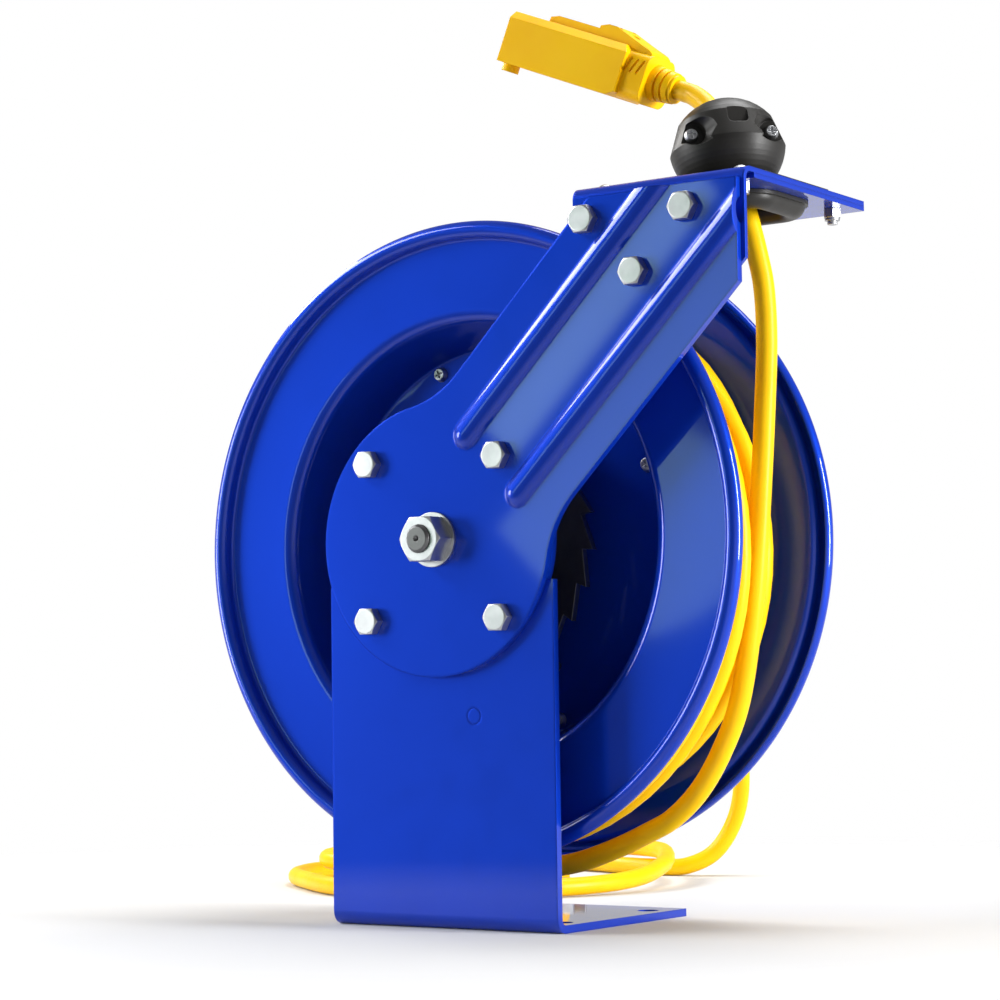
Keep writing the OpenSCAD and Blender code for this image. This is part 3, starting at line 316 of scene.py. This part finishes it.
LEAD_ROUTE = [
    (0, 95, 170), (0, 105, 170), (0, 117, 170), (-4, 150, 167), (-12, 205, 155), (-27, 260, 130),
    (-41, 304, 98), (-51, 330, 66), (-60, 338, 38), (-72, 333, 16), (-88, 324, 6.5), (-108, 319, 5.5),
    (-134, 323, 5.5), (-166, 334, 5.5), (-200, 340, 5.5), (-240, 325, 5.5), (-272, 290, 5.5),
    (-290, 245, 5.5), (-292, 200, 5.5), (-272, 158, 5.5), (-236, 126, 5.5), (-194, 97, 5.5),
    (-150, 85, 5.5), (-107, 95, 5.5), (-75, 122, 5.5), (-54, 158, 6), (-46, 195, 8), (-54, 235, 12),
    (-72, 272, 15.5), (-98, 306, 17), (-134, 330, 16.8), (-170, 341, 16.6), (-205, 345, 16.6),
    (-240, 327, 16.6), (-259, 292, 16.6), (-271, 245, 16.6), (-269, 205, 16.6), (-258, 172, 16.6),
    (-235, 150, 15.6), (-205, 152, 14.6), (-181, 166, 14.4), (-165, 171, 14.4), (-155, 171, 14.4),
    (-145, 171, 14.4)]


def make_cords():
    """The stretch leaves the winding, and the lead leaves the gland."""
    stretch = smooth_route(STRETCH_ROUTE)
    piece = dress(cord_curve("hanging_cord", stretch), "stand", "cord_jacket", "cord_stretch")
    lead = smooth_route(LEAD_ROUTE)
    piece = dress(cord_curve("lead_cord", lead), "stand", "cord_jacket", "lead_in_cord")


# ---- Winding on the drum, in millimetres and degrees ----

LAYER_R = 129.6
LAYER_START_Y = 40.5
LAYER_END_Y = -30.0
LAYER_PITCH = 12.4
LAYER_SLACK = 9.0
START_RISE = 1.5
START_TURNS = 0.08
CLIMB_TURNS = 0.4
LOOSE_PITCH = 11.2
LOOSE_RISE = 11.1
LOOSE_END_Y = -8.0
LOOSE_SAG = 13.5
LOOSE_SAG_TURNS = 0.7
SAG_HEADING = -75
SLACK_HEADING = -35
WINDING_HEADING = 12
WINDING_RINGS = 72
CORE_R = LAYER_R - 5.25 - 0.3

INNER_TURNS = 7
INNER_START_Y = -35.2
INNER_END_Y = 45.8
INNER_ARC_STEPS = 8
INNER_GROOVE = 3.9
INNER_SIDE = [(119.9, INNER_END_Y), (114.6, 39.1), (106, -3), (106, -6), (114.6, -28.5), (119.9, INNER_START_Y)]


def lobe(angle, heading, power):
    """One at the heading, falling smoothly to none opposite it."""
    return ((1 + math.cos(math.radians(angle - heading))) / 2) ** power


def winding_path():
    """The outer layer from the rear flange to the front one, a climb, and the loose turns on it."""
    layer_turns = (LAYER_START_Y - LAYER_END_Y) / LAYER_PITCH
    turns = layer_turns + CLIMB_TURNS + (LOOSE_END_Y - LAYER_END_Y) / LOOSE_PITCH
    count = math.ceil(turns * WINDING_RINGS)
    start_r = CORE_R + START_RISE
    points = []
    for i in range(count + 1):
        t = turns * i / count
        climb = min(max((t - layer_turns) / CLIMB_TURNS, 0), 1)
        loose = max(t - layer_turns - CLIMB_TURNS, 0)
        angle = WINDING_HEADING + 360 * t
        r = start_r + (LAYER_R - start_r) * min(t / START_TURNS, 1) + LOOSE_RISE * climb
        r += LOOSE_SAG * min(loose / LOOSE_SAG_TURNS, 1) * lobe(angle, SAG_HEADING, 2.5)
        if SLACK_HEADING + 180 < angle < SLACK_HEADING + 540:
            r += LAYER_SLACK * lobe(angle, SLACK_HEADING, 3)
        y = LAYER_START_Y - LAYER_PITCH * min(t, layer_turns) + LOOSE_PITCH * loose
        a = math.radians(angle)
        points.append(Vector((r * math.cos(a) * MM, y * MM, AXLE_Z + r * math.sin(a) * MM)))
    return points


def make_winding():
    """The outer layer as one cord, and the turns below it as one ring with a groove between turns."""
    dress(cord_curve("wound_cord", winding_path()), "drum", "cord_jacket", "winding_layer")
    pitch = (INNER_END_Y - INNER_START_Y) / INNER_TURNS
    profile = []
    for turn in range(INNER_TURNS):
        centre = INNER_START_Y + pitch * (turn + 0.5)
        for step in range(INNER_ARC_STEPS + 1):
            a = math.pi * step / INNER_ARC_STEPS
            depth = pitch / 2 * (1 - math.sin(a))
            profile.append((CORE_R - min(depth, INNER_GROOVE), centre - pitch / 2 * math.cos(a)))
    dress(lathe("inner_turns", profile + INNER_SIDE, 192), "drum", "cord_jacket", "winding_core")


# ---- Drum halves, turned at full smoothness, in millimetres ----

BORE_R = 18.1
DISH_FILLET_R = 2.0
DISH_FILLET_AT = 102.0
DISH_MOUTH_R = 112.0
DISH_LIP_R = 7.5
RIM_R = 164.0
RIM_ROLL_R = 4.3
RIM_FILLET_R = 2.0
RIM_H = 7.5
FRONT_FLAT_Y = -37.0
REAR_FLAT_Y = 47.6
FLOOR_Y = -6.0
SHEET = 1.5
DRUM_STEPS = 256


def arc(centre, radius, start, end, steps):
    return [(centre[0] + radius * math.cos(math.radians(start + (end - start) * i / steps)),
             centre[1] + radius * math.sin(math.radians(start + (end - start) * i / steps)))
            for i in range(steps + 1)]


def half_line(depth):
    """The sheet's outer face from the bore over the rolled rim, as [radius, depth]."""
    wall = math.degrees(math.atan2(depth - DISH_LIP_R - DISH_FILLET_R, DISH_MOUTH_R - DISH_FILLET_AT - DISH_FILLET_R))
    fillet_at = RIM_R - 2 * RIM_ROLL_R - RIM_FILLET_R
    return ([(BORE_R, 0)]
            + arc((DISH_FILLET_AT, DISH_FILLET_R), DISH_FILLET_R, -90, wall - 90, 10)
            + arc((DISH_MOUTH_R + DISH_LIP_R, depth - DISH_LIP_R), DISH_LIP_R, wall + 90, 90, 18)
            + arc((fillet_at, depth + RIM_FILLET_R), RIM_FILLET_R, -90, 0, 8)
            + arc((RIM_R - RIM_ROLL_R, depth + RIM_H - RIM_ROLL_R), RIM_ROLL_R, 180, -60, 28))


def thickened(line, thickness):
    """The line and its copy set off to one side, as one closed profile."""
    out = []
    for i, (x, y) in enumerate(line):
        before = line[max(i - 1, 0)]
        after = line[min(i + 1, len(line) - 1)]
        dx, dy = after[0] - before[0], after[1] - before[1]
        size = math.hypot(dx, dy)
        out.append((x - dy / size * thickness, y + dx / size * thickness))
    return line + out[::-1]


def make_drum():
    front = [(r, FLOOR_Y - d) for r, d in half_line(FLOOR_Y - FRONT_FLAT_Y)]
    dress(lathe("front_flange", thickened(front, SHEET), DRUM_STEPS), "drum", "blue_paint", "drum_front_half")
    rear_floor = FLOOR_Y + 2 * SHEET
    rear = [(r, rear_floor + d) for r, d in half_line(REAR_FLAT_Y - rear_floor)]
    dress(lathe("rear_flange", thickened(rear, -SHEET), DRUM_STEPS), "drum", "blue_paint", "drum_rear_half")


# ---- Floor, world and lamps ----

FLOOR_HALF = 1.6
FLOOR_AT = (-0.06, 0.10, 0)
FLOOR_ALBEDO = 0.67
FLOOR_FADE = (0.38, 0.66)

# The world's level, first by height (a direction's z) and then less on its dark side (a dot product)
WORLD_HEIGHTS = (-0.02, 0.22)
WORLD_LEVELS = (0.95, 0.22)
DARK_SIDE = (-0.2, -0.96, -0.2)
DARK_EDGE = (0.60, 0.82)
DARK_LEVEL = 0.18

# Name, place, aim, size, watts, colour and roll. The paint mirrors the left lamp as white lines along the ribs, the
# strip as the pale band between the ribs, and the panel as the pale bands right of them and on the front flange.
WHITE = (1, 1, 1)
MIRROR_TINT = (0.62, 1.0, 0.75)
LAMPS = [
    ("key", (-1.75, -1.2, 0.32), (0, 0, 0.15), (0.7, 0.7), 19, WHITE, 0),
    ("top", (0.15, 0.55, 1.9), (0, -0.1, 0), (1.2, 1.0), 27, WHITE, 0),
    ("side", (1.9, 0.3, 0.5), (0.05, 0, 0.15), (0.4, 1.0), 50, WHITE, 0),
    ("left", (-1.5, -0.38, 1.27), (0.1, -0.06, 0.3), (2.45, 0.40), 38, WHITE, 0),
    ("strip", (-0.977, -1.74, 0.588), (-0.977, 0, 0.588), (0.43, 0.065), 0.4, MIRROR_TINT, 45),
    ("panel", (-0.841, -1.74, 0.396), (-0.841, 0, 0.396), (0.51, 0.31), 1.33, MIRROR_TINT, 45),
]


def make_floor():
    """A matt floor that takes soft shadows near the reel and fades into the white surroundings."""
    mesh = bpy.data.meshes.new("floor")
    h = FLOOR_HALF
    mesh.from_pydata([(-h, -h, 0), (h, -h, 0), (h, h, 0), (-h, h, 0)], [], [(0, 1, 2, 3)])
    floor = bpy.data.objects.new("floor", mesh)
    bpy.context.scene.collection.objects.link(floor)
    m = Surface("white_floor")
    m.tree.nodes.remove(m.shader)
    matt = m.add("ShaderNodeBsdfDiffuse")
    matt.inputs["Color"].default_value = (FLOOR_ALBEDO, FLOOR_ALBEDO, FLOOR_ALBEDO, 1)
    away = m.add("ShaderNodeVectorMath", operation="LENGTH")
    m.link(m.object_place(), away.inputs[0])
    fade = m.add("ShaderNodeMixShader")
    m.link(m.spread(away.outputs["Value"], *FLOOR_FADE, 0, 1), fade.inputs["Fac"])
    m.link(matt.outputs[0], fade.inputs[1])
    m.link(m.add("ShaderNodeBsdfTransparent").outputs[0], fade.inputs[2])
    m.link(fade.outputs[0], m.tree.nodes["Material Output"].inputs["Surface"])
    mesh.materials.append(m.material)
    floor.location = FLOOR_AT


def make_world():
    """White to the camera; to the object, bright up to the horizon, dimmer overhead and on its dark side."""
    world = bpy.data.worlds.new("studio")
    bpy.context.scene.world = world
    world.use_nodes = True
    t = Tree(world.node_tree)
    back = t.tree.nodes["Background"]
    back.inputs["Color"].default_value = (*WHITE, 1)
    direction = t.add("ShaderNodeTexCoord").outputs["Generated"]
    height = t.add("ShaderNodeSeparateXYZ")
    t.link(direction, height.inputs[0])
    side = t.add("ShaderNodeVectorMath", operation="DOT_PRODUCT")
    side.inputs[1].default_value = DARK_SIDE
    t.link(direction, side.inputs[0])
    both = t.add("ShaderNodeMath", operation="MULTIPLY")
    t.link(t.spread(height.outputs["Z"], *WORLD_HEIGHTS, *WORLD_LEVELS), both.inputs[0])
    t.link(t.spread(side.outputs["Value"], *DARK_EDGE, 1.0, DARK_LEVEL), both.inputs[1])
    level = t.add("ShaderNodeMapRange")
    level.inputs["To Max"].default_value = 1.0
    t.link(both.outputs[0], level.inputs["To Min"])
    t.link(t.add("ShaderNodeLightPath").outputs["Is Camera Ray"], level.inputs["Value"])
    t.link(level.outputs["Result"], back.inputs["Strength"])


def make_lamps():
    for name, at, aim, size, power, colour, roll in LAMPS:
        data = bpy.data.lights.new(name, "AREA")
        data.shape = "RECTANGLE"
        data.size, data.size_y = size
        data.energy = power
        data.color = colour
        lamp = bpy.data.objects.new(name, data)
        bpy.context.scene.collection.objects.link(lamp)
        lamp.location = at
        turn = (Vector(aim) - Vector(at)).to_track_quat("-Z", "Y")
        lamp.rotation_euler = (turn @ Quaternion((0, 0, 1), math.radians(roll))).to_euler()


make_camera()
materials = make_materials()
dress_nodes()
make_cords()
make_winding()
make_drum()
make_floor()
make_world()
make_lamps()
bpy.context.scene.view_settings.view_transform = "Standard"
